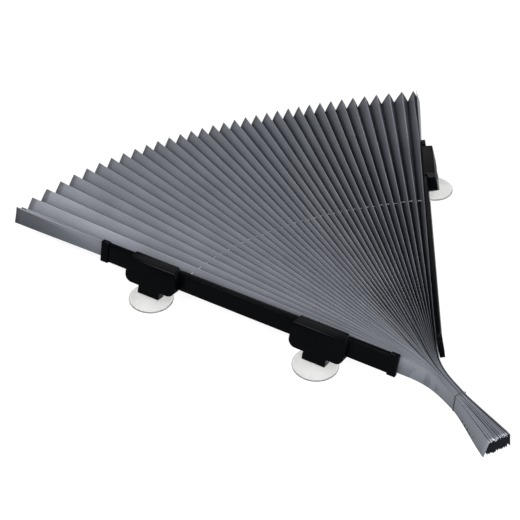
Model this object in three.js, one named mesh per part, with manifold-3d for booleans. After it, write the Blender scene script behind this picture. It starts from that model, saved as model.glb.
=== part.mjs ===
// A retractable windscreen sunshade: a pleated film fan held by two rails with suction cups.
// Millimetres, +Z up. The shade stands on its cups and opens from the waist towards +Y.
import * as THREE from "three";
import { mergeVertices } from "three/addons/utils/BufferGeometryUtils.js";
import Module from "manifold-3d";

const wasm = await Module();
wasm.setup();

// General values: the gap between touching pieces, and how far a cutting shape runs past its piece
const clearance = 0.3;
const overshoot = 1;

// Pleated film
const filmLength = 650;
const tailLength = 66;
const ridgeCount = 35;
const panelWidth = 18.5;
const endPanelWidth = 20.5;
const filmThickness = 0.12;
const waistWidth = 12;
const filmTop = 41.8;

// Spread of the fan: half its angle, then how unevenly its pleats are pulled apart, in degrees
const halfAngle = 32;
const spreadSkew = -16.4;
const spreadBunch = -22.4;
const spreadMiddle = 11.5;
const spreadTwist = 38.4;

// Bend of the folds near the waist, and sag of the open fan
const bendStart = 14;
const bendSteps = 40;
const sagDepth = 22.5;
const sagPower = 1.2;
const sagFlatness = 0.75;

// Splay of the tail, in degrees and millimetres, and how far its outermost flaps stand off
const tailSplay = 6.6;
const tailRound = 8;
const leftTailFlap = 4.5;
const rightTailFlap = 4;

// The outermost pleats past the rails: the end panel leans more, and the next panel comes away
const tipLean = 19.5;
const leftTipFlap = 8;
const rightTipFlap = 3;
const ridgeBehindPanel = 0.9;

// How many stretches the film is drawn in: along the tail, up to the rails, along them and past them
const tailStretches = 4;
const waistStretches = 9;
const railStretches = 8;
const tipStretches = 5;

// Rails, in a frame whose Y points outwards and whose Z runs up the film's end panel
const railStart = 77;
const railLength = 378;
const railLean = 13.5;
const railRise = 1.6;
const railDepth = 5;
const flangeThickness = 1.2;
const webThickness = 1.5;
const ledgeDrop = 2.2;
const ledgeStep = 0.8;
const barGap = 0.35;
const flangeGap = 0.45;

// End caps
const capLength = 10;
const capWall = 1;
const capEndWall = 1.6;

// Suction cups
const cupRadius = 26;
const lipWidth = 3;
const lipThickness = 0.8;
const cupHeight = 5;
const cupThickness = 1.7;
const neckRadius = 2.5;
const neckFillet = 2;
const neckFilletHeight = 0.6;
const headRadius = 4;
const headThickness = 2.5;
const headEdge = 1.5;
const headTopRadius = 2.8;
const headHeight = 10.6;
const cupOffset = 18;
const cupSides = 72;

// Sections of a cup's hollow and of its crown, as shares of its radius and of its height
const hollowSection = [[0, 1], [0.25, 0.95], [0.5, 0.78], [0.75, 0.46], [1, 0]];
const crownSection = [[0.82, 0.34], [0.58, 0.68], [0.34, 0.92]];

// Brackets
const wall = 1.8;
const stemWall = 1.5;
const bracketWidth = 66;
const plateWidth = 57.5;
const plateDrop = 7;
const plateBack = 1.9;
const plateRise = 4.6;
const bracketDepth = 14.7;
const frontFlare = 2.3;
const frontBevel = 1;
const frontRise = 0.5;
const bodyBottom = 6.4;
const bodyCorner = 9;
const stemWidth = 27.5;
const stemHeight = 10;
const stemBack = 3.9;
const backThickness = 2.4;
const stemBackThickness = 1.4;
const screwSpacing = 40;
const screwDrop = 11;
const screwRadius = 1.2;
const screwLength = 4.6;
const screwHeadRadius = 2.6;
const screwHeadThickness = 1.4;
const bossRadius = 3;
const roundSides = 32;
const cornerSteps = 10;

// Bare rail between each bracket and the end cap nearest to it
const leftTipRoom = 32;
const leftWaistRoom = 46.5;
const rightTipRoom = 2;

// Values that follow from the ones above
const fanLength = filmLength - tailLength;
const foldCount = 2 * ridgeCount + 3;
const stackPitch = waistWidth / (foldCount - 1);
const railMiddle = railStart + railLength / 2;
const railEnd = railStart + railLength;
const railTop = railRise;
const railBottom = -endPanelWidth - railRise;
const bracketFromEnd = capLength + bracketWidth / 2;
const capTop = railTop + clearance + capWall;
const capBottom = railBottom - clearance - capWall;
const capOuter = railDepth + clearance + capWall;
const channelLength = railLength - 2 * (capEndWall + clearance);
const innerTop = railTop - flangeThickness - clearance;
const innerBottom = railBottom + flangeThickness + clearance;
const seatTop = railTop + clearance;
const seatBottom = railBottom - clearance;
const seatFace = railDepth + clearance;
const bracketBottom = railBottom - bodyBottom;
const stemBottom = bracketBottom - stemHeight;
const outlineDepth = bracketDepth + frontFlare + overshoot;
const neckGap = 3 * clearance;

const materials = {
  film: { color: 0x6b6f78, roughness: 0.5, metalness: 0.3 },
  plastic: { color: 0x0b0c0e, roughness: 0.35, metalness: 0 },
  bar: { color: 0x17181b, roughness: 0.55, metalness: 0 },
  cup: { color: 0xe4e4e2, roughness: 0.15, metalness: 0, transparent: true, opacity: 0.6 },
  screw: { color: 0x8e9298, roughness: 0.3, metalness: 0.9 },
};

function radians(degrees) {
  return (degrees * Math.PI) / 180;
}

function smoothStep(t) {
  const c = Math.min(Math.max(t, 0), 1);
  return c * c * (3 - 2 * c);
}

function makeMesh(name, geometry, look) {
  const mesh = new THREE.Mesh(geometry, new THREE.MeshStandardMaterial(materials[look]));
  mesh.name = name;
  return mesh;
}

// Booleans
function toSolid(geometry) {
  const bare = geometry.clone();
  bare.deleteAttribute("normal");
  bare.deleteAttribute("uv");
  const merged = mergeVertices(bare, 1e-4);
  const vertProperties = new Float32Array(merged.attributes.position.array);
  const triVerts = new Uint32Array(merged.index.array);
  return new wasm.Manifold(new wasm.Mesh({ numProp: 3, vertProperties, triVerts }));
}

function toGeometry(solid) {
  const raw = solid.getMesh();
  const geometry = new THREE.BufferGeometry();
  geometry.setAttribute("position", new THREE.BufferAttribute(new Float32Array(raw.vertProperties), 3));
  geometry.setIndex(new THREE.BufferAttribute(new Uint32Array(raw.triVerts), 1));
  geometry.computeVertexNormals();
  return geometry;
}

// A side profile of [outwards, up] points, drawn out along the rail between two places
function alongRail(points, from, to) {
  const shape = new THREE.Shape(points.map(([out, up]) => new THREE.Vector2(out, up)));
  const geometry = new THREE.ExtrudeGeometry(shape, { depth: to - from, bevelEnabled: false });
  const x = new THREE.Vector3(1, 0, 0);
  const y = new THREE.Vector3(0, 1, 0);
  const z = new THREE.Vector3(0, 0, 1);
  geometry.applyMatrix4(new THREE.Matrix4().makeBasis(y, z, x));
  geometry.translate(from, 0, 0);
  return geometry;
}

// A front outline in [along, up], drawn out from the film's face as deep as a bracket
function outwards(shape) {
  const settings = { depth: outlineDepth, bevelEnabled: false, curveSegments: cornerSteps };
  const geometry = new THREE.ExtrudeGeometry(shape, settings);
  geometry.rotateX(Math.PI / 2);
  geometry.translate(0, outlineDepth, 0);
  return geometry;
}

// A round pin whose axis points outwards
function pin(radius, from, to, along, up) {
  const geometry = new THREE.CylinderGeometry(radius, radius, to - from, roundSides);
  geometry.translate(along, (from + to) / 2, up);
  return geometry;
}

function rectangle(out1, up1, out2, up2) {
  return [[out1, up1], [out2, up1], [out2, up2], [out1, up2]];
}

// Pleated film. Folds are numbered across the sheet: 0 and the last are its free top edges,
// even ones are ridges and odd ones are valleys.
function ridgeAngle(share) {
  const bulge = share * (1 - share);
  const tilt = 1 - 2 * share;
  const even = halfAngle * tilt;
  const skewed = bulge * (spreadSkew + spreadMiddle * bulge);
  const bunched = bulge * tilt * (spreadBunch + spreadTwist * bulge);
  return radians(even + skewed + bunched);
}

function foldAngle(fold) {
  const share = (fold - 2) / (foldCount - 5);
  return ridgeAngle(Math.min(Math.max(share, 0), 1));
}

function headingAt(angle, s) {
  return angle * smoothStep((s - bendStart) / (railStart - bendStart));
}

// The plan of a fold line: straight out of the waist, bending towards its own angle, then straight
function foldPlan(fold, s) {
  const angle = foldAngle(fold);
  const stack = stackPitch * ((foldCount - 1) / 2 - fold);
  const side = stack / (waistWidth / 2);
  if (s <= 0) {
    const away = Math.hypot(s, tailRound) - tailRound;
    return { x: s, y: stack + side * away * Math.tan(radians(tailSplay)), heading: 0 };
  }
  const bent = Math.min(s, railStart);
  const step = bent / bendSteps;
  let x = (s - bent) * Math.cos(angle);
  let y = (s - bent) * Math.sin(angle) + stack;
  for (let k = 0; k < bendSteps; k += 1) {
    const heading = headingAt(angle, (k + 0.5) * step);
    x += Math.cos(heading) * step;
    y += Math.sin(heading) * step;
  }
  return { x, y, heading: headingAt(angle, s) };
}

// A place on a fold, moved sideways across the fold's own heading
function shifted(plan, out) {
  const x = plan.x - out * Math.sin(plan.heading);
  const y = plan.y + out * Math.cos(plan.heading);
  return { ...plan, x, y };
}

function ridgeHeight(fold, s) {
  const share = (fold - 2) / (foldCount - 5);
  const across = Math.pow(Math.max(Math.sin(Math.PI * share), 0), sagFlatness);
  const along = Math.pow(Math.max(s, 0) / fanLength, sagPower);
  return filmTop - sagDepth * across * along;
}

// How far past the rail towards the tip, and how far along the tail, a station lies, from 0 to 1
function tipShare(s) {
  return smoothStep((s - railEnd) / (fanLength - railEnd));
}

function tailShare(s) {
  return smoothStep(-s / tailLength);
}

function leanAt(s) {
  const atRail = railLean * smoothStep(s / railStart);
  return radians(atRail + (tipLean - railLean) * tipShare(s));
}

// The three outermost folds on each side, held by the rail: free edge, bottom fold and first ridge
function edgeFolds(side, s) {
  const last = foldCount - 1;
  const tailFlap = side > 0 ? leftTailFlap : rightTailFlap;
  const tipFlap = side > 0 ? leftTipFlap : rightTipFlap;
  const plans = [0, 1, 2].map((fold) => foldPlan(side > 0 ? fold : last - fold, s));
  const bottomOut = endPanelWidth * Math.sin(leanAt(s)) + tailFlap * tailShare(s);
  const behind = ridgeBehindPanel * smoothStep((s - railStart) / railStart);
  const ridgeIn = behind + tipFlap * tipShare(s);
  const free = { ...plans[0], z: filmTop };
  const drop = Math.sqrt(endPanelWidth ** 2 - bottomOut ** 2);
  const bottom = { ...shifted(plans[1], side * bottomOut), z: filmTop - drop };
  const ridge = shifted(plans[2], -side * ridgeIn);
  ridge.z = bottom.z + Math.sqrt(endPanelWidth ** 2 - apart(ridge, bottom) ** 2);
  return [free, bottom, ridge];
}

function apart(one, other) {
  return Math.hypot(one.x - other.x, one.y - other.y);
}

// All folds at one station: each valley hangs a panel's width below the ridges beside it
function foldsAt(s) {
  const last = foldCount - 1;
  const inner = [];
  for (let fold = 3; fold <= last - 3; fold += 1) {
    inner.push({ ...foldPlan(fold, s), z: ridgeHeight(fold, s) });
  }
  const folds = [...edgeFolds(1, s), ...inner, ...edgeFolds(-1, s).reverse()];
  for (let fold = 3; fold < last - 2; fold += 2) {
    const before = folds[fold - 1];
    const after = folds[fold + 1];
    const across = (apart(folds[fold], before) + apart(folds[fold], after)) / 2;
    folds[fold].z = (before.z + after.z) / 2 - Math.sqrt(panelWidth ** 2 - across ** 2);
  }
  return folds;
}

function filmStations() {
  const spans = [
    [-tailLength, 0, tailStretches],
    [0, railStart, waistStretches],
    [railStart, railEnd, railStretches],
    [railEnd, fanLength, tipStretches],
  ];
  const stations = [fanLength];
  for (const [from, to, stretches] of spans) {
    for (let k = 0; k < stretches; k += 1) {
      stations.push(from + ((to - from) * k) / stretches);
    }
  }
  return stations.sort((a, b) => a - b);
}

function makeFilm() {
  const last = foldCount - 1;
  const half = filmThickness / 2;
  const positions = [];
  const index = [];

  function addPoint(fold, out, up) {
    const point = shifted(fold, out);
    positions.push(point.x, point.y, point.z + up);
    return positions.length / 3 - 1;
  }

  // A fold has two points on its outer face and one inside it; a free edge has one on each face
  function facePoints(fold, number) {
    const isRidge = number % 2 === 0;
    if (number === 0) {
      return { isRidge, upper: [addPoint(fold, -half, 0)], lower: [addPoint(fold, half, 0)] };
    }
    if (number === last) {
      return { isRidge, upper: [addPoint(fold, half, 0)], lower: [addPoint(fold, -half, 0)] };
    }
    const outer = [addPoint(fold, filmThickness, 0), addPoint(fold, -filmThickness, 0)];
    if (isRidge) {
      return { isRidge, upper: outer, lower: [addPoint(fold, 0, -filmThickness)] };
    }
    return { isRidge, upper: [addPoint(fold, 0, filmThickness)], lower: outer };
  }

  // The points round the film's section, along its upper face and back along its lower one
  function ring(section) {
    const pick = (side) => section.flatMap((fold) => fold[side].map((id) => ({ id, isRidge: fold.isRidge })));
    return pick("upper").concat(pick("lower").reverse());
  }

  function closeEnd(section, flip) {
    const add = (p, q, r) => index.push(p, flip ? r : q, flip ? q : r);
    section.forEach((fold, i) => {
      if (fold.upper.length === 2) {
        add(fold.upper[0], fold.lower[0], fold.upper[1]);
      }
      if (fold.lower.length === 2) {
        add(fold.upper[0], fold.lower[0], fold.lower[1]);
      }
      if (i + 1 < section.length) {
        const next = section[i + 1];
        const top = fold.upper[fold.upper.length - 1];
        const base = fold.lower[fold.lower.length - 1];
        add(top, base, next.lower[0]);
        add(top, next.lower[0], next.upper[0]);
      }
    });
  }

  // Every panel is split from its ridge to its valley, on both faces, so panels that twist stay apart
  function joinSections(one, other) {
    const a = ring(one);
    const b = ring(other);
    a.forEach(({ id, isRidge }, i) => {
      const j = (i + 1) % a.length;
      if (isRidge) {
        index.push(id, a[j].id, b[j].id, id, b[j].id, b[i].id);
      } else {
        index.push(id, a[j].id, b[i].id, a[j].id, b[j].id, b[i].id);
      }
    });
  }

  const sections = filmStations().map((s) => foldsAt(s).map(facePoints));
  sections.slice(1).forEach((section, k) => joinSections(sections[k], section));
  closeEnd(sections[0], false);
  closeEnd(sections[sections.length - 1], true);
  const geometry = new THREE.BufferGeometry();
  geometry.setAttribute("position", new THREE.Float32BufferAttribute(positions, 3));
  geometry.setIndex(index);
  geometry.computeVertexNormals();
  return geometry;
}

// Rails
function makeChannel() {
  const half = channelLength / 2;
  const recess = railDepth - ledgeStep;
  const profile = [
    [flangeGap, railTop],
    [recess, railTop],
    [recess, railTop - ledgeDrop],
    [railDepth, railTop - ledgeDrop],
    [railDepth, railBottom],
    [flangeGap, railBottom],
    [flangeGap, railBottom + flangeThickness],
    [railDepth - webThickness, railBottom + flangeThickness],
    [railDepth - webThickness, railTop - ledgeDrop - flangeThickness],
    [recess - webThickness, railTop - ledgeDrop - flangeThickness],
    [recess - webThickness, railTop - flangeThickness],
    [flangeGap, railTop - flangeThickness],
  ];
  return alongRail(profile, -half, half);
}

function makeBar() {
  const half = channelLength / 2;
  const back = railDepth - ledgeStep - webThickness - clearance;
  return alongRail(rectangle(barGap, innerBottom, back, innerTop), -half, half);
}

// A cap over one end of the channel; direction is the way in which its closed end faces
function makeCap(direction) {
  const end = (direction * railLength) / 2;
  const mouth = end - direction * capLength;
  const floor = end - direction * capEndWall;
  const outer = rectangle(barGap, capBottom, capOuter, capTop);
  const hollow = rectangle(-overshoot, seatBottom, seatFace, seatTop);
  const block = toSolid(alongRail(outer, Math.min(end, mouth), Math.max(end, mouth)));
  const past = mouth - direction * overshoot;
  const pocket = toSolid(alongRail(hollow, Math.min(past, floor), Math.max(past, floor)));
  return toGeometry(block.subtract(pocket));
}

// Brackets
function frontFace(up) {
  const top = railTop - frontBevel;
  return bracketDepth + (frontFlare * (top - up)) / (top - stemBottom);
}

function bracketOutline(inset) {
  const half = bracketWidth / 2 - inset;
  const plate = plateWidth / 2 - inset;
  const top = plateRise - inset;
  const bottom = bracketBottom + inset;
  const corner = bodyCorner - inset;
  const shape = new THREE.Shape();
  shape.moveTo(plate, top);
  shape.lineTo(-plate, top);
  shape.lineTo(-half, top - plateDrop);
  shape.absarc(-half + corner, bottom + corner, corner, Math.PI, 1.5 * Math.PI);
  shape.absarc(half - corner, bottom + corner, corner, 1.5 * Math.PI, 2 * Math.PI);
  shape.lineTo(half, top - plateDrop);
  return shape;
}

function screwPlaces() {
  return [-screwSpacing / 2, screwSpacing / 2];
}

function makeBody() {
  const bevelTop = railTop + frontRise;
  const side = [
    [plateBack, seatTop],
    [plateBack, plateRise],
    [bracketDepth - frontBevel, bevelTop],
    [bracketDepth, bevelTop - frontBevel],
    [frontFace(bracketBottom), bracketBottom],
    [stemBack, bracketBottom],
    [stemBack, seatBottom],
    [seatFace, seatBottom],
    [seatFace, seatTop],
  ];
  const half = bracketWidth / 2;
  const shell = toSolid(alongRail(side, -half, half));
  const outline = toSolid(outwards(bracketOutline(0)));
  const stemSide = [
    [stemBack, stemBottom],
    [frontFace(stemBottom) - frontBevel, stemBottom],
    [frontFace(stemBottom + frontBevel), stemBottom + frontBevel],
    [frontFace(bracketBottom + wall), bracketBottom + wall],
    [stemBack, bracketBottom + wall],
  ];
  const stem = toSolid(alongRail(stemSide, -stemWidth / 2, stemWidth / 2));
  const roomTop = seatTop - wall - clearance;
  const roomSide = [
    [0, stemBottom],
    [frontFace(stemBottom) - wall, stemBottom],
    [frontFace(roomTop) - wall, roomTop],
    [0, roomTop],
  ];
  const inside = toSolid(outwards(bracketOutline(wall)));
  const room = toSolid(alongRail(roomSide, -half, half)).intersect(inside);
  const stemRoomTop = bracketBottom + 2 * wall;
  const stemRoomSide = [
    [0, stemBottom + wall],
    [frontFace(stemBottom + wall) - stemWall, stemBottom + wall],
    [frontFace(stemRoomTop) - stemWall, stemRoomTop],
    [0, stemRoomTop],
  ];
  const stemRoomHalf = stemWidth / 2 - wall;
  const stemRoom = toSolid(alongRail(stemRoomSide, -stemRoomHalf, stemRoomHalf));
  let body = shell.intersect(outline).add(stem).subtract(room).subtract(stemRoom).subtract(neckSlot());
  for (const along of screwPlaces()) {
    const up = railTop - screwDrop;
    const from = seatFace + backThickness + clearance;
    const screwTip = seatFace + clearance + screwHeadThickness + screwLength;
    const boss = toSolid(pin(bossRadius, from, frontFace(up) - wall / 2, along, up));
    const pilot = toSolid(pin(screwRadius + clearance, from - overshoot, screwTip + clearance, along, up));
    body = body.add(boss).subtract(pilot);
  }
  return toGeometry(body);
}

// Where the vertical axis of a cup crosses the bracket's leaning frame, at a height above the ground
function axisInBracket(height) {
  const lean = radians(railLean);
  const rise = height - filmTop;
  return {
    out: cupOffset * Math.cos(lean) + rise * Math.sin(lean),
    up: rise * Math.cos(lean) - cupOffset * Math.sin(lean),
  };
}

// The slot for the neck of the cup, open to the back
function neckSlot() {
  const middle = axisInBracket((cupHeight + headHeight) / 2);
  const radius = neckRadius + neckGap;
  const bottom = stemBottom - overshoot;
  const top = stemBottom + wall + overshoot;
  const round = new THREE.CylinderGeometry(radius, radius, top - bottom, roundSides);
  round.rotateX(Math.PI / 2);
  round.translate(0, middle.out, (top + bottom) / 2);
  const lane = rectangle(0, bottom, middle.out, top);
  return toSolid(round).add(toSolid(alongRail(lane, -radius, radius)));
}

// The back of a bracket: a plate behind the body, a step under the rail and a tongue behind the stem
function makeBack() {
  const web = seatFace + backThickness;
  const step = seatBottom - wall;
  const top = seatTop - 2 * wall - 2 * clearance;
  const inside = toSolid(outwards(bracketOutline(wall + clearance)));
  const plateSide = rectangle(seatFace, step, web, top);
  const stepSide = rectangle(stemBack, step, web, seatBottom);
  const tongueBottom = stemBottom + wall + clearance;
  const tongueSide = rectangle(stemBack, tongueBottom, stemBack + stemBackThickness, seatBottom);
  const tongueHalf = stemWidth / 2 - wall - clearance;
  let back = toSolid(alongRail(plateSide, -bracketWidth / 2, bracketWidth / 2)).intersect(inside)
    .add(toSolid(alongRail(stepSide, -tongueHalf, tongueHalf)))
    .add(toSolid(alongRail(tongueSide, -tongueHalf, tongueHalf)));
  for (const along of screwPlaces()) {
    const up = railTop - screwDrop;
    const from = seatFace - overshoot;
    const sink = seatFace + screwHeadThickness + 2 * clearance;
    const bore = toSolid(pin(screwRadius + clearance, from, web + overshoot, along, up));
    const recess = toSolid(pin(screwHeadRadius + clearance, from, sink, along, up));
    back = back.subtract(bore).subtract(recess);
  }
  return toGeometry(back);
}

function makeScrew(along) {
  const headStart = seatFace + clearance;
  const profile = [
    [0, headStart],
    [screwHeadRadius, headStart],
    [screwHeadRadius, headStart + screwHeadThickness],
    [screwRadius, headStart + screwHeadThickness],
    [screwRadius, headStart + screwHeadThickness + screwLength - screwRadius],
    [0, headStart + screwHeadThickness + screwLength],
  ];
  const points = profile.map(([radius, out]) => new THREE.Vector2(radius, out));
  const geometry = new THREE.LatheGeometry(points, roundSides);
  geometry.translate(along, 0, railTop - screwDrop);
  return geometry;
}

function makeCup() {
  const dome = cupHeight - cupThickness;
  const innerLip = cupRadius - lipWidth;
  const crown = cupHeight - lipThickness;
  const profile = [
    ...hollowSection.map(([out, up]) => [innerLip * out, dome * up]),
    [cupRadius, 0],
    [cupRadius, lipThickness],
    ...crownSection.map(([out, up]) => [cupRadius * out, lipThickness + crown * up]),
    [neckRadius + neckFillet, cupHeight],
    [neckRadius, cupHeight + neckFilletHeight],
    [neckRadius, headHeight],
    [headRadius, headHeight],
    [headRadius, headHeight + headEdge],
    [headTopRadius, headHeight + headThickness],
    [0, headHeight + headThickness],
  ];
  const points = profile.map(([radius, height]) => new THREE.Vector2(radius, height));
  const geometry = new THREE.LatheGeometry(points, cupSides);
  geometry.rotateX(Math.PI / 2);
  return geometry;
}

// The object, in a frame whose origin is at the waist
const shade = new THREE.Group();
shade.add(makeMesh("pleated_film", makeFilm(), "film"));

// Rail frames: X along the rail from its middle, Y outwards, Z up the leaning end panel
function addRail(name, side, brackets) {
  const edge = foldPlan(side > 0 ? 0 : foldCount - 1, railMiddle);
  const upright = new THREE.Group();
  upright.position.set(edge.x, edge.y, 0);
  upright.rotation.z = edge.heading + (side > 0 ? 0 : Math.PI);
  shade.add(upright);
  const leaning = new THREE.Group();
  leaning.position.set(0, 0, filmTop);
  leaning.rotation.x = radians(railLean);
  upright.add(leaning);
  leaning.add(makeMesh(name + "_rail_channel", makeChannel(), "plastic"));
  leaning.add(makeMesh(name + "_rail_bar", makeBar(), "bar"));
  leaning.add(makeMesh(name + "_tip_cap", makeCap(side), "plastic"));
  leaning.add(makeMesh(name + "_waist_cap", makeCap(-side), "plastic"));
  for (const [bracket, place] of Object.entries(brackets)) {
    const along = side * (place - railMiddle);
    const leaningPlace = new THREE.Group();
    leaningPlace.position.x = along;
    leaning.add(leaningPlace);
    leaningPlace.add(makeMesh(bracket + "_bracket_body", makeBody(), "plastic"));
    leaningPlace.add(makeMesh(bracket + "_bracket_back", makeBack(), "bar"));
    screwPlaces().forEach((screw, i) => {
      leaningPlace.add(makeMesh(bracket + "_bracket_screw_" + (i + 1), makeScrew(screw), "screw"));
    });
    const cup = makeMesh(bracket + "_suction_cup", makeCup(), "cup");
    cup.position.set(along, cupOffset, 0);
    upright.add(cup);
  }
}

addRail("left", 1, {
  left_tip: railEnd - bracketFromEnd - leftTipRoom,
  left_waist: railStart + bracketFromEnd + leftWaistRoom,
});
addRail("right", -1, { right: railEnd - bracketFromEnd - rightTipRoom });

// The fan opens towards +Y, and the middle of its outline on the ground is the origin
shade.rotation.z = Math.PI / 2;
const group = new THREE.Group();
group.add(shade);
group.updateMatrixWorld(true);
const box = new THREE.Box3().setFromObject(group, true);
shade.position.set(-(box.min.x + box.max.x) / 2, -(box.min.y + box.max.y) / 2, -box.min.z);

export default group;
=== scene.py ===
import math

import bmesh
import bpy
from mathutils import Matrix, Vector, noise


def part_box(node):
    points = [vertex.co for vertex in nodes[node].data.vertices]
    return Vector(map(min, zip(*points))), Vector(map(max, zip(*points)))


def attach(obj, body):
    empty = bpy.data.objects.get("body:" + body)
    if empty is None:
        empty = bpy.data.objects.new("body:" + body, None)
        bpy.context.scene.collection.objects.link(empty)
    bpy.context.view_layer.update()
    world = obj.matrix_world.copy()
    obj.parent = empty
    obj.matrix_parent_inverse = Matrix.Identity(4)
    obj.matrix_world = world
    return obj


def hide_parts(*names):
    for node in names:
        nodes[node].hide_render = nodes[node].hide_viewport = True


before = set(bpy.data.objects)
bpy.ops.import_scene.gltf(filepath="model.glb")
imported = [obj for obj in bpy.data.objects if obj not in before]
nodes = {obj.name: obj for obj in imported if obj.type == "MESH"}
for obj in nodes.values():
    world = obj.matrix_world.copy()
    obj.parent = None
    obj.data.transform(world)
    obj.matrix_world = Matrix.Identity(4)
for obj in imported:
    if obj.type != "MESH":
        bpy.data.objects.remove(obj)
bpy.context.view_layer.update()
millimetre = 0.001
sameSpot = 1e-6         # points closer than this are one point
white = (1, 1, 1, 1)
print("frame loaded")


# small helpers
def smoothStep(t):
    c = min(max(t, 0), 1)
    return c * c * (3 - 2 * c)


# 0 up to the start, 1 from the end on, and a smooth rise between them
def ramp(value, start, end):
    return smoothStep((value - start) / (end - start))


# Smooth noise between -1 and 1, about one wave for each whole step in x, y or z
def waver(x, y, z):
    return noise.noise(Vector((x, y, z)))


def directionTo(bearing, height):
    b = math.radians(bearing)
    h = math.radians(height)
    return Vector((math.cos(h) * math.cos(b), math.cos(h) * math.sin(b), math.sin(h)))


def camelWord(words):
    return "".join(part.capitalize() for part in words.split("_"))


def addObject(name, data):
    thing = bpy.data.objects.new(name, data)
    bpy.context.scene.collection.objects.link(thing)
    return thing


def addMesh(name, bm, material):
    mesh = bpy.data.meshes.new(name)
    bm.to_mesh(mesh)
    bm.free()
    mesh.materials.append(material)
    return addObject(name, mesh)


def addPiece(name, bm, material, body, node):
    piece = addMesh(name, bm, material)
    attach(piece, body)
    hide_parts(node)
    return piece


def smoothFaces(bm, sharpAngle):
    for face in bm.faces:
        face.smooth = True
    for edge in bm.edges:
        if len(edge.link_faces) == 2:
            edge.smooth = edge.calc_face_angle(0) < math.radians(sharpAngle)


def hexToLinear(hexColour):
    parts = [int(hexColour[i:i + 2], 16) / 255 for i in (1, 3, 5)]
    return (*[c / 12.92 if c <= 0.04045 else ((c + 0.055) / 1.055) ** 2.4 for c in parts], 1)


# How often a pattern of this size repeats in a metre
def perMetre(sizeMm):
    return 1 / (sizeMm * millimetre)


# Settings and links go by an input's name or number, or by the name of a node's own setting
def addNode(tree, kind, settings=None, links=None):
    node = tree.nodes.new(kind)
    for name, value in (settings or {}).items():
        if isinstance(name, int) or name in node.inputs:
            node.inputs[name].default_value = value
        else:
            setattr(node, name, value)
    for name, source in (links or {}).items():
        tree.links.new(source, node.inputs[name])
    return node


def startMaterial(name):
    material = bpy.data.materials.new(name)
    material.use_nodes = True
    material.node_tree.nodes.clear()
    return material, material.node_tree


# camera
cameraSet = {
    "aim": (-0.06988, 0.03660, 0.02690),
    "bearing": 240.46,      # degrees from +X to the camera
    "height": 40.08,        # degrees above the level
    "roll": 1.35,           # degrees
    "distance": 1.38,
    "focal": 81.70,         # millimetres, for a square picture
    "sensor": 36,           # millimetres
}


def addCamera():
    data = bpy.data.cameras.new("camera")
    data.lens = cameraSet["focal"]
    data.sensor_width = cameraSet["sensor"]
    camera = addObject("camera", data)
    back = directionTo(cameraSet["bearing"], cameraSet["height"])
    roll = Matrix.Rotation(math.radians(cameraSet["roll"]), 3, "Z")
    turn = (-back).to_track_quat("-Z", "Y").to_matrix() @ roll
    place = Vector(cameraSet["aim"]) + back * cameraSet["distance"]
    camera.matrix_world = Matrix.Translation(place) @ turn.to_4x4()
    bpy.context.scene.camera = camera


addCamera()
print("camera placed")


# materials
# The film's attributes: foldSide runs from -1 in a valley to 1 on a ridge, and the painted fold shade
# from 0 where the folds lie open to 1 where they are tied
filmLook = {
    "silver": "#8d9098",
    # a painted highlight colour for the crests
    "ridge": "#c8ccd5",
    # painted shade colours, for down in the valleys and between packed panels
    "valley": "#7b8089",
    "shadow": "#0d121f",
    "metallic": 0.35,
    "roughness": {"To Min": 0.37, "To Max": 0.50},
    "valleyToSilver": {"From Min": -1.0, "From Max": 0.55},     # over foldSide
    "crest": {"From Min": 0.87, "From Max": 0.97},              # over foldSide
    # the painted crest highlight grows with the painted fold shade
    "wear": {"From Max": 0.6, "To Min": 0.15, "To Max": 1.0},   # how pale a crest is, over packed
    # how far up foldSide the painted shadow climbs, over the painted fold shade
    "climb": {"From Min": 0.15, "From Max": 0.6, "To Min": -0.8, "To Max": 0.8},
    "cloudMm": 60,
    "cloudTone": {"From Min": 0.3, "From Max": 0.7, "To Min": 1.02, "To Max": 1.16},
    "embossMm": 2.8,
    "embossAngle": 38,          # degrees
    "embossTone": -0.16,
    "embossDepthMm": 0.16,
    "embossBump": 0.4,
}
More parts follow.
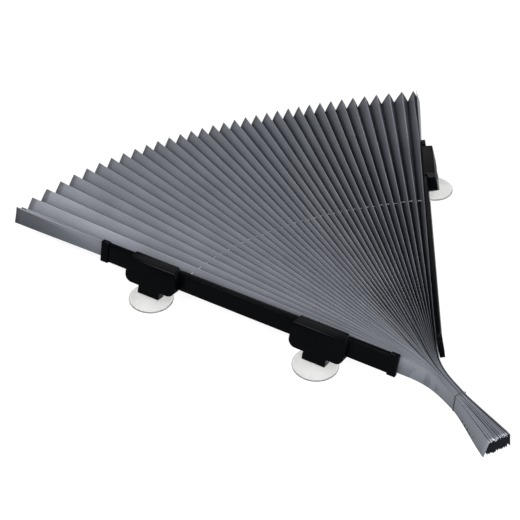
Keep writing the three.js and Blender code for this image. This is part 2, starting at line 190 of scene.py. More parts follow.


# Aluminised polyester film, embossed and creased hot: satin silver, with a painted highlight along the
# crests, painted shade down in the folds and a painted shadow where panels lie packed
def makeSilverFilm():
    look = filmLook
    material, tree = startMaterial("aluminisedFilm")
    uv = addNode(tree, "ShaderNodeUVMap", {"uv_map": "sheet"}).outputs["UV"]
    fold = addNode(tree, "ShaderNodeAttribute", {"attribute_name": "foldSide"}).outputs["Fac"]
    foldShade = addNode(tree, "ShaderNodeAttribute", {"attribute_name": "foldShade"}).outputs["Fac"]
    cloud = addNode(tree, "ShaderNodeTexNoise", {"Scale": perMetre(look["cloudMm"]), "Detail": 2.0},
                    {"Vector": uv})
    # the emboss is a lattice of slanting lines about 1 mm apart, drawn coarser so that it shows.
    # Its waves are about 1 / (pi * scale) long
    waves = []
    for angle in (look["embossAngle"], -look["embossAngle"]):
        slant = addNode(tree, "ShaderNodeMapping", {"Rotation": (0, 0, math.radians(angle))}, {"Vector": uv})
        wave = addNode(tree, "ShaderNodeTexWave",
                       {"Scale": perMetre(math.pi * look["embossMm"]), "Distortion": 0.6, "Detail": 1.0},
                       {"Vector": slant.outputs["Vector"]})
        waves.append(wave.outputs["Fac"])
    lattice = addNode(tree, "ShaderNodeMath", {"operation": "MAXIMUM"}, {0: waves[0], 1: waves[1]})
    # painted shade darkens the valleys, and a painted highlight pales the crests, most where the folds are
    # tied
    depth = addNode(tree, "ShaderNodeMapRange",
                    {"interpolation_type": "SMOOTHSTEP", **look["valleyToSilver"]}, {"Value": fold})
    shade = addNode(tree, "ShaderNodeMix",
                    {"data_type": "RGBA", 6: hexToLinear(look["valley"]), 7: hexToLinear(look["silver"])},
                    {0: depth.outputs["Result"]})
    wear = addNode(tree, "ShaderNodeMapRange", look["wear"], {"Value": foldShade})
    crest = addNode(tree, "ShaderNodeMapRange", look["crest"],
                    {"Value": fold, "To Max": wear.outputs["Result"]})
    highlighted = addNode(tree, "ShaderNodeMix", {"data_type": "RGBA", 7: hexToLinear(look["ridge"])},
                   {0: crest.outputs["Result"], 6: shade.outputs[2]})
    tone = addNode(tree, "ShaderNodeMapRange", look["cloudTone"], {"Value": cloud.outputs["Fac"]})
    hatched = addNode(tree, "ShaderNodeMath", {"operation": "MULTIPLY_ADD", 1: look["embossTone"]},
                      {0: lattice.outputs["Value"], 2: tone.outputs["Result"]})
    toned = addNode(tree, "ShaderNodeHueSaturation", {},
                    {"Color": highlighted.outputs[2], "Value": hatched.outputs["Value"]})
    # painted shadow: where the folds lie packed, light reaches only their crests, so below them the colour
    # is mixed towards shadow
    climb = addNode(tree, "ShaderNodeMapRange", look["climb"], {"Value": foldShade})
    below = addNode(tree, "ShaderNodeMapRange", {"From Min": 1.0, "interpolation_type": "SMOOTHSTEP"},
                    {"Value": fold, "From Max": climb.outputs["Result"]})
    paintedShade = addNode(tree, "ShaderNodeMath", {"operation": "MULTIPLY"},
                   {0: foldShade, 1: below.outputs["Result"]})
    colour = addNode(tree, "ShaderNodeMix", {"data_type": "RGBA", 7: hexToLinear(look["shadow"])},
                     {0: paintedShade.outputs["Value"], 6: toned.outputs["Color"]})
    gloss = addNode(tree, "ShaderNodeMapRange", look["roughness"], {"Value": cloud.outputs["Fac"]})
    bump = addNode(tree, "ShaderNodeBump",
                   {"Strength": look["embossBump"], "Distance": look["embossDepthMm"] * millimetre},
                   {"Height": lattice.outputs["Value"]})
    shader = addNode(tree, "ShaderNodeBsdfPrincipled", {"Metallic": look["metallic"]},
                     {"Base Color": colour.outputs[2], "Roughness": gloss.outputs["Result"],
                      "Normal": bump.outputs["Normal"]})
    addNode(tree, "ShaderNodeOutputMaterial", {}, {"Surface": shader.outputs["BSDF"]})
    return material


cutLook = {"colour": "#0b0c11", "specular": 0.1, "roughness": {"To Min": 0.7, "To Max": 0.85}, "cloudMm": 60}


# The film's cut edges: hot-knife cut and painted dark as painted shade, so the tied stack looks black from
# its end
def makeCutEdgeShade():
    look = cutLook
    material, tree = startMaterial("cutEdgeShade")
    uv = addNode(tree, "ShaderNodeUVMap", {"uv_map": "sheet"}).outputs["UV"]
    cloud = addNode(tree, "ShaderNodeTexNoise", {"Scale": perMetre(look["cloudMm"])}, {"Vector": uv})
    gloss = addNode(tree, "ShaderNodeMapRange", look["roughness"], {"Value": cloud.outputs["Fac"]})
    shader = addNode(tree, "ShaderNodeBsdfPrincipled",
                     {"Base Color": hexToLinear(look["colour"]), "Specular IOR Level": look["specular"]},
                     {"Roughness": gloss.outputs["Result"]})
    addNode(tree, "ShaderNodeOutputMaterial", {}, {"Surface": shader.outputs["BSDF"]})
    return material


polishedAbs = {
    "name": "polishedBlackAbs", "colour": "#040507", "ior": 1.53, "specular": 0.08,
    "roughness": {"To Min": 0.11, "To Max": 0.29}, "smearMm": 25, "smearDetail": 3.0,
    "grainMm": 1.6, "grainDetail": 1.0, "grainDepthMm": 0.02, "grainBump": 0.15,
}
grainedAbs = {
    "name": "grainedBlackAbs", "colour": "#060709", "ior": 1.53, "specular": 0.08,
    "roughness": {"To Min": 0.40, "To Max": 0.55}, "smearMm": 0.9, "smearDetail": 2.0,
    "grainMm": 0.9, "grainDetail": 2.0, "grainDepthMm": 0.04, "grainBump": 0.3,
}


# Black ABS, injection moulded. From a polished tool it is deep black with a soft gloss and a faint
# orange peel, and from a spark-eroded tool it is matt and finely grained
def makeBlackAbs(look):
    material, tree = startMaterial(look["name"])
    place = addNode(tree, "ShaderNodeTexCoord").outputs["Object"]
    grain = addNode(tree, "ShaderNodeTexNoise",
                    {"Scale": perMetre(look["grainMm"]), "Detail": look["grainDetail"]}, {"Vector": place})
    smear = addNode(tree, "ShaderNodeTexNoise",
                    {"Scale": perMetre(look["smearMm"]), "Detail": look["smearDetail"]}, {"Vector": place})
    gloss = addNode(tree, "ShaderNodeMapRange", look["roughness"], {"Value": smear.outputs["Fac"]})
    bump = addNode(tree, "ShaderNodeBump",
                   {"Strength": look["grainBump"], "Distance": look["grainDepthMm"] * millimetre},
                   {"Height": grain.outputs["Fac"]})
    shader = addNode(tree, "ShaderNodeBsdfPrincipled",
                     {"Base Color": hexToLinear(look["colour"]), "IOR": look["ior"],
                      "Specular IOR Level": look["specular"]},
                     {"Roughness": gloss.outputs["Result"], "Normal": bump.outputs["Normal"]})
    addNode(tree, "ShaderNodeOutputMaterial", {}, {"Surface": shader.outputs["BSDF"]})
    return material


vinylLook = {
    "tint": "#e9e9e8", "rim": "#6f706e", "ior": 1.45, "clear": 0.85,
    "rimPlace": {"From Min": 0.0253, "From Max": 0.0258},       # over the distance from the middle
    "roughness": {"To Min": 0.08, "To Max": 0.18}, "flowMm": 14,
    "ringMm": 3.2, "ringDepthMm": 0.2, "ringBump": 0.25,
}


# Soft clear vinyl, moulded: it lets the floor through, and its rim is painted grey as painted shade
def makeClearVinyl():
    look = vinylLook
    material, tree = startMaterial("clearVinyl")
    place = addNode(tree, "ShaderNodeTexCoord").outputs["Object"]
    radius = addNode(tree, "ShaderNodeAttribute", {"attribute_name": "radius"}).outputs["Fac"]
    flow = addNode(tree, "ShaderNodeTexNoise", {"Scale": perMetre(look["flowMm"]), "Detail": 1.0},
                   {"Vector": place})
    gloss = addNode(tree, "ShaderNodeMapRange", look["roughness"], {"Value": flow.outputs["Fac"]})
    # turning marks of the mould: shallow rings
    turns = addNode(tree, "ShaderNodeMath",
                    {"operation": "MULTIPLY", 1: 2 * math.pi * perMetre(look["ringMm"])}, {0: radius})
    rings = addNode(tree, "ShaderNodeMath", {"operation": "SINE"}, {0: turns.outputs["Value"]})
    relief = addNode(tree, "ShaderNodeMath", {"operation": "ADD"},
                     {0: flow.outputs["Fac"], 1: rings.outputs["Value"]})
    bump = addNode(tree, "ShaderNodeBump",
                   {"Strength": look["ringBump"], "Distance": look["ringDepthMm"] * millimetre},
                   {"Height": relief.outputs["Value"]})
    # painted shade: the rim is mixed towards grey
    edge = addNode(tree, "ShaderNodeMapRange", look["rimPlace"], {"Value": radius})
    colour = addNode(tree, "ShaderNodeMix",
                     {"data_type": "RGBA", 6: hexToLinear(look["tint"]), 7: hexToLinear(look["rim"])},
                     {0: edge.outputs["Result"]})
    shader = addNode(tree, "ShaderNodeBsdfPrincipled",
                     {"IOR": look["ior"], "Transmission Weight": look["clear"]},
                     {"Base Color": colour.outputs[2], "Roughness": gloss.outputs["Result"],
                      "Normal": bump.outputs["Normal"]})
    addNode(tree, "ShaderNodeOutputMaterial", {}, {"Surface": shader.outputs["BSDF"]})
    return material


zincLook = {"colour": "#b7babd", "roughness": {"To Min": 0.25, "To Max": 0.42}, "spangleMm": 1.2}


# Steel, zinc plated: cool grey metal with faint spangle
def makeZinc():
    look = zincLook
    material, tree = startMaterial("zincPlatedSteel")
    place = addNode(tree, "ShaderNodeTexCoord").outputs["Object"]
    spangle = addNode(tree, "ShaderNodeTexVoronoi", {"Scale": perMetre(look["spangleMm"])},
                      {"Vector": place})
    gloss = addNode(tree, "ShaderNodeMapRange", look["roughness"], {"Value": spangle.outputs["Distance"]})
    shader = addNode(tree, "ShaderNodeBsdfPrincipled",
                     {"Base Color": hexToLinear(look["colour"]), "Metallic": 1.0},
                     {"Roughness": gloss.outputs["Result"]})
    addNode(tree, "ShaderNodeOutputMaterial", {}, {"Surface": shader.outputs["BSDF"]})
    return material


nylonLook = {
    "colour": "#dcdde0", "tieColour": "#26272b", "ior": 1.53, "roughness": 0.45,
    "strandMm": 0.5, "strandTone": {"To Min": 0.8, "To Max": 1.1},
}


# Bonded nylon thread: slightly shiny, with its strands just showing
def makeNylon(name, hexColour):
    look = nylonLook
    material, tree = startMaterial(name)
    place = addNode(tree, "ShaderNodeTexCoord").outputs["Object"]
    strand = addNode(tree, "ShaderNodeTexNoise", {"Scale": perMetre(look["strandMm"])}, {"Vector": place})
    tone = addNode(tree, "ShaderNodeMapRange", look["strandTone"], {"Value": strand.outputs["Fac"]})
    colour = addNode(tree, "ShaderNodeHueSaturation", {"Color": hexToLinear(hexColour)},
                     {"Value": tone.outputs["Result"]})
    shader = addNode(tree, "ShaderNodeBsdfPrincipled", {"Roughness": look["roughness"], "IOR": look["ior"]},
                     {"Base Color": colour.outputs["Color"]})
    addNode(tree, "ShaderNodeOutputMaterial", {}, {"Surface": shader.outputs["BSDF"]})
    return material


silverFilm = makeSilverFilm()
cutEdge = makeCutEdgeShade()
plastics = {"gloss_black": makeBlackAbs(polishedAbs), "matt_black": makeBlackAbs(grainedAbs)}
clearVinyl = makeClearVinyl()
zinc = makeZinc()
nylon = makeNylon("bondedNylon", nylonLook["colour"])
blackNylon = makeNylon("blackNylon", nylonLook["tieColour"])
print("materials made")


# pleated film
# A place s lies along the folds: 0 at the waist, less than 0 in the tail. A share runs across the
# fan, from 0 at the left rail to 1 at the right one, or across one panel. Angles are in degrees
film = {
    "length": 0.650, "tail": 0.066, "ridges": 35, "panel": 0.0185, "endPanel": 0.0205,
    "thickness": 0.00012, "waist": 0.012, "top": 0.0418,
    "halfAngle": 32, "skew": -16.4, "bunch": -22.4, "middle": 11.5, "twist": 38.4,
    "bendStart": 0.014, "bendSteps": 40, "sagDepth": 0.0225, "sagPower": 1.2, "sagFlatness": 0.75,
    "tailSplay": 6.6, "tailRound": 0.008, "leftTailFlap": 0.0045, "rightTailFlap": 0.004,
    "tipLean": 19.5, "leftTipFlap": 0.008, "rightTipFlap": 0.003, "ridgeBehind": 0.0009,
    "railStart": 0.077, "railLength": 0.378, "railLean": 13.5,
    "across": (0, 0.035, 0.34, 0.66, 0.965),    # where each panel is cut across
    "rows": (12, 24, 28, 14),       # rows of faces in the tail, at the waist, along the rails, at the tips
    # open gaps in the tied stack: the fold before each, and its width
    "gaps": (
        (3, 0.0007), (24, 0.0003), (38, 0.0004), (46, 0.0005), (54, 0.0004), (61, 0.0005), (68, 0.0009),
    ),
}
foldCount = 2 * film["ridges"] + 3
fanLength = film["length"] - film["tail"]
railEnd = film["railStart"] + film["railLength"]
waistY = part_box("pleated_film")[0].y + film["tail"]


def ridgeAngle(share):
    bulge = share * (1 - share)
    tilt = 1 - 2 * share
    skewed = bulge * (film["skew"] + film["middle"] * bulge)
    bunched = bulge * tilt * (film["bunch"] + film["twist"] * bulge)
    return math.radians(film["halfAngle"] * tilt + skewed + bunched)


# The share at a fold, counted from the first ridge to the last
def ridgeShare(fold):
    return (fold - 2) / (foldCount - 5)


# Where a fold lies across the tied stack, which is packed closer between a few open gaps
def stackPlace(fold):
    opened = sum(width for place, width in film["gaps"])
    before = sum(width for place, width in film["gaps"] if place < fold)
    return film["waist"] / 2 - before - (film["waist"] - opened) * fold / (foldCount - 1)


def headingAt(angle, s):
    return angle * ramp(s, film["bendStart"], film["railStart"])


# The plan of a fold line: straight out of the waist, bending towards its own angle, then straight
def foldPlan(fold, s):
    angle = ridgeAngle(min(max(ridgeShare(fold), 0), 1))
    stack = stackPlace(fold)
    if s <= 0:
        away = math.hypot(s, film["tailRound"]) - film["tailRound"]
        splay = away * math.tan(math.radians(film["tailSplay"]))
        return s, stack + 2 * stack / film["waist"] * splay, 0.0
    bent = min(s, film["railStart"])
    step = bent / film["bendSteps"]
    x = (s - bent) * math.cos(angle)
    y = (s - bent) * math.sin(angle) + stack
    for k in range(film["bendSteps"]):
        heading = headingAt(angle, (k + 0.5) * step)
        x += math.cos(heading) * step
        y += math.sin(heading) * step
    return x, y, headingAt(angle, s)


def moved(plan, out):
    x, y, heading = plan
    return x - out * math.sin(heading), y + out * math.cos(heading), heading


# What is uneven in a sheet folded by hand. An Along gives where an effect starts and where it is full
slack = {
    "relief": 0.0035,               # how far the ridges of the tied stack lie out of level
    "reliefLeft": 0.25,             # the share of it by the left rail
    "reliefAcross": (0, 0.4545),
    "reliefWaves": (9, 15),         # broad and fine ones, in a metre
    "levelAlong": (0.06, 0.26),     # beyond the stack the ridges come level
    "bow": 0.0005,
    "bowAlong": (0.05, 0.17),
    "bowWaves": (14, 45),
    "fineShare": 0.6,               # how high the fine waves are beside the broad ones
    "leftWrinkle": 0.0008,          # on the end panels, between the waist and the rails
    "rightWrinkle": 0.000267,
    "wrinkleAlong": (0.015, 0.035),
    "wrinkleEnd": 0.006,            # before the rails
    "wrinkleWaves": 150,
}


def ridgeHeight(fold, s):
    share = ridgeShare(fold)
    across = max(math.sin(math.pi * share), 0) ** film["sagFlatness"]
    sag = film["sagDepth"] * across * (max(s, 0) / fanLength) ** film["sagPower"]
    broad, fine = slack["reliefWaves"]
    uneven = waver(fold * 0.41, s * broad, 2.5) + slack["fineShare"] * waver(fold * 0.13, s * fine, 7.5)
    side = slack["reliefLeft"] + (1 - slack["reliefLeft"]) * ramp(share, *slack["reliefAcross"])
    return film["top"] - sag + slack["relief"] * side * uneven * (1 - ramp(s, *slack["levelAlong"]))


# Free edge, bottom fold and first ridge on one side, held by the rail
def edgeFolds(side, s):
    last = foldCount - 1
    tip = ramp(s, railEnd, fanLength)
    railLean = film["railLean"] * ramp(s, 0, film["railStart"])
    lean = math.radians(railLean + (film["tipLean"] - film["railLean"]) * tip)
    tailFlap = film["leftTailFlap"] if side > 0 else film["rightTailFlap"]
    tipFlap = film["leftTipFlap"] if side > 0 else film["rightTipFlap"]
    plans = [foldPlan(fold if side > 0 else last - fold, s) for fold in range(3)]
    bottomOut = film["endPanel"] * math.sin(lean) + tailFlap * ramp(-s, 0, film["tail"])
    behind = film["ridgeBehind"] * ramp(s, film["railStart"], 2 * film["railStart"])
    bottom = moved(plans[1], side * bottomOut)
    ridge = moved(plans[2], -side * (behind + tipFlap * tip))
    bottomZ = film["top"] - math.sqrt(film["endPanel"] ** 2 - bottomOut ** 2)
    gap = math.hypot(ridge[0] - bottom[0], ridge[1] - bottom[1])
    ridgeZ = bottomZ + math.sqrt(film["endPanel"] ** 2 - gap ** 2)
    return [(plans[0], film["top"]), (bottom, bottomZ), (ridge, ridgeZ)]


# All fold lines' points at a place. A valley hangs as deep as its two panels' width lets it
def foldsAt(s):
    last = foldCount - 1
    inner = [(foldPlan(fold, s), ridgeHeight(fold, s)) for fold in range(3, last - 2)]
    folds = edgeFolds(1, s) + inner + edgeFolds(-1, s)[::-1]
    points = [Vector((-plan[1], plan[0] + waistY, z)) for plan, z in folds]
    for fold in range(3, last - 2, 2):
        before, valley, after = points[fold - 1:fold + 2]
        gap = ((valley - before).xy.length + (valley - after).xy.length) / 2
        valley.z = (before.z + after.z) / 2 - math.sqrt(film["panel"] ** 2 - gap ** 2)
    return points


def rowPlaces():
    ends = (-film["tail"], 0, film["railStart"], railEnd, fanLength)
    places = []
    for start, end, count in zip(ends, ends[1:], film["rows"]):
        places += [start + (end - start) * k / count for k in range(count)]
    return places + [fanLength]


# Painted shade from how closely panels are packed, from 0 to 1
packedShade = {
    "openAlong": (-0.02, 0.03),     # the tied stack is fully packed and opens here
    "near": 0.25,                   # just beyond the waist, on the left
    "nearMore": 0.65,               # what is added to it towards the right
    "nearAcross": (0.1364, 0.5909),
    "nearStart": 0.05,
    "nearReach": 0.24,
    "nearReachMore": 0.14,
    "narrow": 0.55,                 # the narrow pleats on the right, all along
    "narrowAcross": (0.22, 0.84),
    "narrowEase": 0.4,
    "narrowEaseAlong": (0.3, 0.55),
    # painted shade, on the left end panel's free tip
    "tip": 0.6,                     # the left end panel's free tip, which hangs in shade
    "tipAlong": (-0.06, 0.13),      # from the rail's end
}


# How much painted shade a panel gets from how closely it is packed among its neighbours. The end panels lie
# open, and only the left one's free tip gets painted shade
def packedShadeAt(panel, s):
    share = panel / (foldCount - 2)
    if share in (0, 1):
        return packedShade["tip"] * ramp(s - railEnd, *packedShade["tipAlong"]) * (1 - share)
    tied = 1 - ramp(s, *packedShade["openAlong"])
    reach = packedShade["nearReach"] + packedShade["nearReachMore"] * share
    near = packedShade["near"] + packedShade["nearMore"] * ramp(share, *packedShade["nearAcross"])
    near *= 1 - ramp(s, packedShade["nearStart"], packedShade["nearStart"] + reach)
    narrow = packedShade["narrow"] * ramp(share, *packedShade["narrowAcross"])
    narrow *= 1 - packedShade["narrowEase"] * ramp(s, *packedShade["narrowEaseAlong"])
    return max(tied, near, narrow)


# Where a point of the flat sheet lies once folded: panels bow a little between their creases
def foldedPlace(folds, s, panel, share):
    a, b = folds[panel], folds[panel + 1]
    normal = (b - a).cross(Vector((0, 1, 0))).normalized()
    broad, fine = slack["bowWaves"]
    ripple = waver(panel * 3.7, s * broad, 0.5)
    ripple += slack["fineShare"] * waver(panel * 1.9, s * fine, share * 2)
    out = slack["bow"] * ramp(s, *slack["bowAlong"]) * (0.5 + ripple)
    if panel in (0, foldCount - 2) and s > 0:
        depth = slack["leftWrinkle"] if panel == 0 else slack["rightWrinkle"]
        loose = ramp(s, *slack["wrinkleAlong"]) * ramp(film["railStart"] - s, 0, slack["wrinkleEnd"])
        out += depth * loose * waver(s * slack["wrinkleWaves"], share * 0.5, 6.5)
    return a.lerp(b, share) + normal * out * math.sin(math.pi * share)


# The flat sheet is a grid from -0.5 to 0.5 both ways. It is cut across every panel, then folded
def makeFilm():
    panels = foldCount - 1
    cuts = len(film["across"])
    columns = panels * cuts
    rows = rowPlaces()
    bm = bmesh.new()
    bmesh.ops.create_grid(bm, x_segments=columns, y_segments=len(rows) - 1, size=0.5)
    sheet = bm.loops.layers.uv.new("sheet")
    side = bm.verts.layers.float.new("foldSide")
    foldShade = bm.verts.layers.float.new("foldShade")
    foldRows = [foldsAt(s) for s in rows]
    widths = [film["panel"]] * panels
    for k in (0, 1, -2, -1):
        widths[k] = film["endPanel"]
    starts = [sum(widths[:k]) for k in range(panels + 1)]
    flat = {}
    for vert in bm.verts:
        column = round((vert.co.x + 0.5) * columns)
        row = round((vert.co.y + 0.5) * (len(rows) - 1))
        panel = min(column // cuts, panels - 1)
        share = 1.0 if column == columns else film["across"][column % cuts]
        flat[vert] = (starts[panel] + widths[panel] * share, rows[row] + film["tail"])
        vert[side] = (1 - 2 * share) * (1 if panel % 2 == 0 else -1)
        # each point's amount of painted fold shade
        vert[foldShade] = packedShadeAt(panel, rows[row])
        vert.co = foldedPlace(foldRows[row], rows[row], panel, share)
        vert.tag = column % cuts == 0
    for face in bm.faces:
        face.smooth = True
        for loop in face.loops:
            loop[sheet].uv = flat[loop.vert]
    for edge in bm.edges:
        one, other = edge.verts
        if one.tag and other.tag and abs(flat[one][0] - flat[other][0]) < sameSpot:
            edge.smooth = False
    bmesh.ops.recalc_face_normals(bm, faces=bm.faces)
    if sum(face.normal.z for face in bm.faces) < 0:
        bmesh.ops.reverse_faces(bm, faces=bm.faces)
    piece = addPiece("foldedFilm", bm, silverFilm, "shade", "pleated_film")
    # the wall's rims take the dark cut edge, a painted shade
    piece.data.materials.append(cutEdge)
    wall = piece.modifiers.new("wall", "SOLIDIFY")
    wall.thickness = film["thickness"]
    wall.offset = 0
    wall.material_offset_rim = 1


makeFilm()
print("film folded")


# rails and brackets
moulding = {
    "channelEdge": 0.0004, "barEdge": 0.0003, "capEdge": 0.0005, "bodyEdge": 0.0009, "backEdge": 0.0003,
    "steps": 3,
    # in degrees: an edge that turns less than the first is merged away, one that turns more than the
    # second is rounded, and what still turns more than the third shows as an edge
    "mergeAngle": 1.0, "cornerAngle": 30, "sharpAngle": 40,
}
brackets = ("left_tip", "left_waist", "right")


# A moulded part has no knife edges: every edge of the solid is rounded a little
def roundEdges(node, name, slot, edge):
    bm = bmesh.new()
    bm.from_mesh(nodes[node].data)
    bmesh.ops.remove_doubles(bm, verts=bm.verts, dist=sameSpot)
    bmesh.ops.dissolve_limit(bm, angle_limit=math.radians(moulding["mergeAngle"]),
                             verts=bm.verts, edges=bm.edges)
    limit = math.radians(moulding["cornerAngle"])
    corners = [e for e in bm.edges if len(e.link_faces) == 2 and e.calc_face_angle(0) > limit]
    bmesh.ops.bevel(bm, geom=corners, offset=edge, affect="EDGES", segments=moulding["steps"],
                    profile=0.5, material=-1, clamp_overlap=True)
    smoothFaces(bm, moulding["sharpAngle"])
    addPiece(name, bm, plastics[slot], "shade", node)


for side in ("left", "right"):
    roundEdges(side + "_rail_channel", side + "Channel", "gloss_black", moulding["channelEdge"])
    roundEdges(side + "_rail_bar", side + "Bar", "matt_black", moulding["barEdge"])
    for end in ("tip", "waist"):
        capName = side + end.capitalize() + "Cap"
        roundEdges(f"{side}_{end}_cap", capName, "gloss_black", moulding["capEdge"])
for bracket in brackets:
    word = camelWord(bracket)
    roundEdges(bracket + "_bracket_body", "body" + word, "gloss_black", moulding["bodyEdge"])
    roundEdges(bracket + "_bracket_back", "back" + word, "matt_black", moulding["backEdge"])
    for k in (1, 2):
        screw = nodes[f"{bracket}_bracket_screw_{k}"]
        screw.data.materials.clear()
        screw.data.materials.append(zinc)
print("rails and brackets moulded")


# suction cups
cup = {
    "radius": 0.026, "lip": 0.0008, "lipWidth": 0.003, "height": 0.005, "thickness": 0.0017,
    "lowerRound": 0.0003, "upperRound": 0.0002,     # the lip's two rounded corners
    "neck": 0.0025, "head": 0.004, "headFrom": 0.0106, "headThickness": 0.0025,
    "fillet": ((0.002, 0.0), (0.0006, 0.0002), (0.0, 0.0009)),      # out from the neck, up from the crown
    "headTop": ((1.0, 0.001), (0.7, 0.0001), (0.5, 0.0), (0.0, 0.0)),   # share of its radius, below its top
    "hollowSteps": 10, "crownSteps": 12, "fullness": 0.9, "sides": 96, "sharpAngle": 50,
}


# Half the section, as radius and height, from the middle of the hollow out to the lip and up to the stud
def cupProfile():
    radius, lip, height = cup["radius"], cup["lip"], cup["height"]
    inner = radius - cup["lipWidth"]
    foot = cup["neck"] + cup["fillet"][0][0]
    headTop = cup["headFrom"] + cup["headThickness"]
    hollow = []
    for k in range(cup["hollowSteps"]):
        out = k / cup["hollowSteps"]
        hollow.append((inner * out, (height - cup["thickness"]) * (1 - out ** 2)))
    rim = [
        (inner, 0.0), (radius - cup["lowerRound"], 0.0), (radius, cup["lowerRound"]),
        (radius, lip - cup["upperRound"]), (radius - cup["lowerRound"], lip),
    ]
    crown = []
    for k in range(1, cup["crownSteps"]):
        inward = k / cup["crownSteps"]
        rise = math.sin(math.pi / 2 * inward) ** cup["fullness"]
        crown.append((radius * (1 - inward) + foot * inward, lip + (height - lip) * rise))
    neck = [(cup["neck"] + out, height + up) for out, up in cup["fillet"]] + [(cup["neck"], cup["headFrom"])]
    head = [
        (cup["head"] - cup["lowerRound"], cup["headFrom"]),
        (cup["head"], cup["headFrom"] + cup["lowerRound"]),
    ]
    head += [(cup["head"] * out, headTop - down) for out, down in cup["headTop"]]
    return hollow + rim + crown + neck + head


def makeCup(name, node):
    low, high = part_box(node)
    middle = Vector(((low.x + high.x) / 2, (low.y + high.y) / 2, low.z))
    bm = bmesh.new()
    verts = [bm.verts.new(middle + Vector((r, 0, z))) for r, z in cupProfile()]
    edges = [bm.edges.new(pair) for pair in zip(verts, verts[1:])]
    bmesh.ops.spin(bm, geom=verts + edges, cent=middle, axis=(0, 0, 1), angle=2 * math.pi,
                   steps=cup["sides"], use_merge=True)
    bmesh.ops.remove_doubles(bm, verts=bm.verts, dist=sameSpot)
    bmesh.ops.recalc_face_normals(bm, faces=bm.faces)
    radius = bm.verts.layers.float.new("radius")
    for vert in bm.verts:
        vert[radius] = (vert.co - middle).xy.length
    smoothFaces(bm, cup["sharpAngle"])
    addPiece(name, bm, clearVinyl, node, node)


for bracket in brackets:
    makeCup("cup" + camelWord(bracket), bracket + "_suction_cup")
print("cups moulded")


# threads
thread = {
    "radius": 0.00036,
    "place": 0.342,         # along the folds
    "drop": 0.0064,         # below the ridges at the left
    "deeper": 0.0038,       # what is added to that towards the right
    "wander": 0.0018,
}
tie = {"radius": 0.0004, "place": -0.0005, "corner": 0.001}


def addThread(name, points, radius, material, closed=False):
    data = bpy.data.curves.new(name, "CURVE")
    data.dimensions = "3D"
    data.bevel_depth = radius
    data.bevel_resolution = 2       # a fine thread needs few sides
    data.use_fill_caps = True
    spline = data.splines.new("POLY")
    spline.points.add(len(points) - 1)
    for point, place in zip(spline.points, points):
        point.co = (*place, 1)
    spline.use_cyclic_u = closed
    data.materials.append(material)
    piece = addObject(name, data)
    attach(piece, "shade")


# The thread runs through every pleat at mid length and keeps their spacing
def makeSpacingThread():
    folds = foldsAt(thread["place"])
    points = []
    for k, (before, after) in enumerate(zip(folds[2:-2], folds[3:-1])):
        middle = (before + after) / 2
        drop = thread["drop"] + thread["deeper"] * k / foldCount
        drop += thread["wander"] * waver(k * 0.31, 4.5, 0.5)
        points.append(Vector((middle.x, middle.y, max(before.z, after.z) - drop)))
    addThread("spacingThread", points, thread["radius"], nylon)


# The tie goes once round the stack at the waist, close to the outermost panels and ridges
def makeWaistTie():
    folds = foldsAt(tie["place"])
    out = tie["radius"] + film["thickness"]
    left = max(point.x for point in folds) + out
    right = min(point.x for point in folds) - out
    top = max(point.z for point in folds) + out
    bottom = min(point.z for point in folds) - out
    corners = [(left, top), (right, top), (right, bottom), (left, bottom)]
    points = []
    for k, (x, z) in enumerate(corners):
        for otherX, otherZ in (corners[k - 1], corners[(k + 1) % 4]):
            share = tie["corner"] / math.hypot(otherX - x, otherZ - z)
            points.append((x + (otherX - x) * share, folds[0].y, z + (otherZ - z) * share))
    addThread("waistTie", points, tie["radius"], blackNylon, closed=True)


makeSpacingThread()
makeWaistTie()
print("threads tied")


# floor, lamps and world
studio = {
    "floorColour": "#8c8c8c", "floorReach": 6, "floorGlow": 0.86, "ambient": 0.06, "lampSize": 1.4,
    # each lamp's bearing from +X and height in degrees, its distance and its power in watts
    "lamps": {
        "key": (178, 50, 2.6, 39),
        "front": (245, 30, 1.4, 19),
        "side": (318, 13, 2.6, 92),
        "back": (60, 36, 2.6, 4),
    },
}


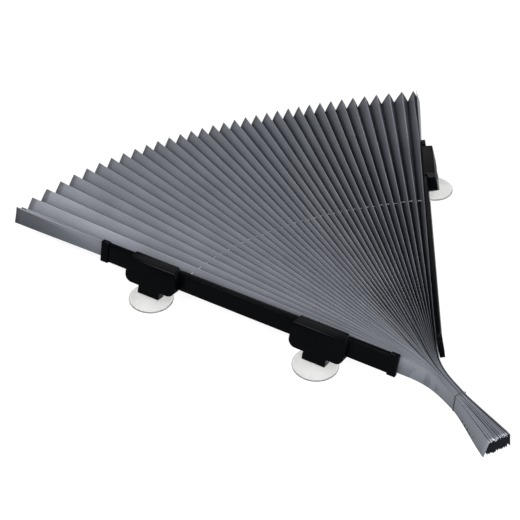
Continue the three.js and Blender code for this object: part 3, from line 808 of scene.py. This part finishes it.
# 1 for what is seen straight or through the clear cups, and 0 for what only lights the object
def seenShare(tree):
    path = addNode(tree, "ShaderNodeLightPath")
    seen = addNode(tree, "ShaderNodeMath", {"operation": "MAXIMUM"},
                   {0: path.outputs["Is Camera Ray"], 1: path.outputs["Is Transmission Ray"]})
    return seen.outputs["Value"]


# The floor is pale and matt. Where it is seen it also glows, so that it ends in the white of the
# background and still keeps the shadows
def makeFloor():
    material, tree = startMaterial("paleFloor")
    share = addNode(tree, "ShaderNodeMath", {"operation": "MULTIPLY", 1: studio["floorGlow"]},
                    {0: seenShare(tree)})
    matt = addNode(tree, "ShaderNodeBsdfDiffuse", {"Color": hexToLinear(studio["floorColour"])})
    glow = addNode(tree, "ShaderNodeEmission", {"Color": white}, {"Strength": share.outputs["Value"]})
    both = addNode(tree, "ShaderNodeAddShader", {}, {0: matt.outputs["BSDF"], 1: glow.outputs["Emission"]})
    addNode(tree, "ShaderNodeOutputMaterial", {}, {"Surface": both.outputs["Shader"]})
    bm = bmesh.new()
    bmesh.ops.create_grid(bm, x_segments=1, y_segments=1, size=studio["floorReach"])
    floor = addMesh("floor", bm, material)


def addLamp(name, bearing, height, distance, power):
    data = bpy.data.lights.new(name, "AREA")
    data.energy = power
    data.shape = "DISK"
    data.size = studio["lampSize"]
    lamp = addObject(name, data)
    out = directionTo(bearing, height)
    turn = out.to_track_quat("Z", "Y").to_matrix()
    lamp.matrix_world = Matrix.Translation(out * distance) @ turn.to_4x4()


def makeWorld():
    world = bpy.data.worlds.new("studio")
    bpy.context.scene.world = world
    world.use_nodes = True
    tree = world.node_tree
    tree.nodes.clear()
    strength = addNode(tree, "ShaderNodeMapRange", {"To Min": studio["ambient"], "To Max": 1.0},
                       {"Value": seenShare(tree)})
    light = addNode(tree, "ShaderNodeBackground", {"Color": white}, {"Strength": strength.outputs["Result"]})
    addNode(tree, "ShaderNodeOutputWorld", {}, {"Surface": light.outputs["Background"]})


makeFloor()
makeWorld()
for name, lamp in studio["lamps"].items():
    addLamp(name, *lamp)
bpy.context.scene.view_settings.view_transform = "Standard"
print("studio lit")
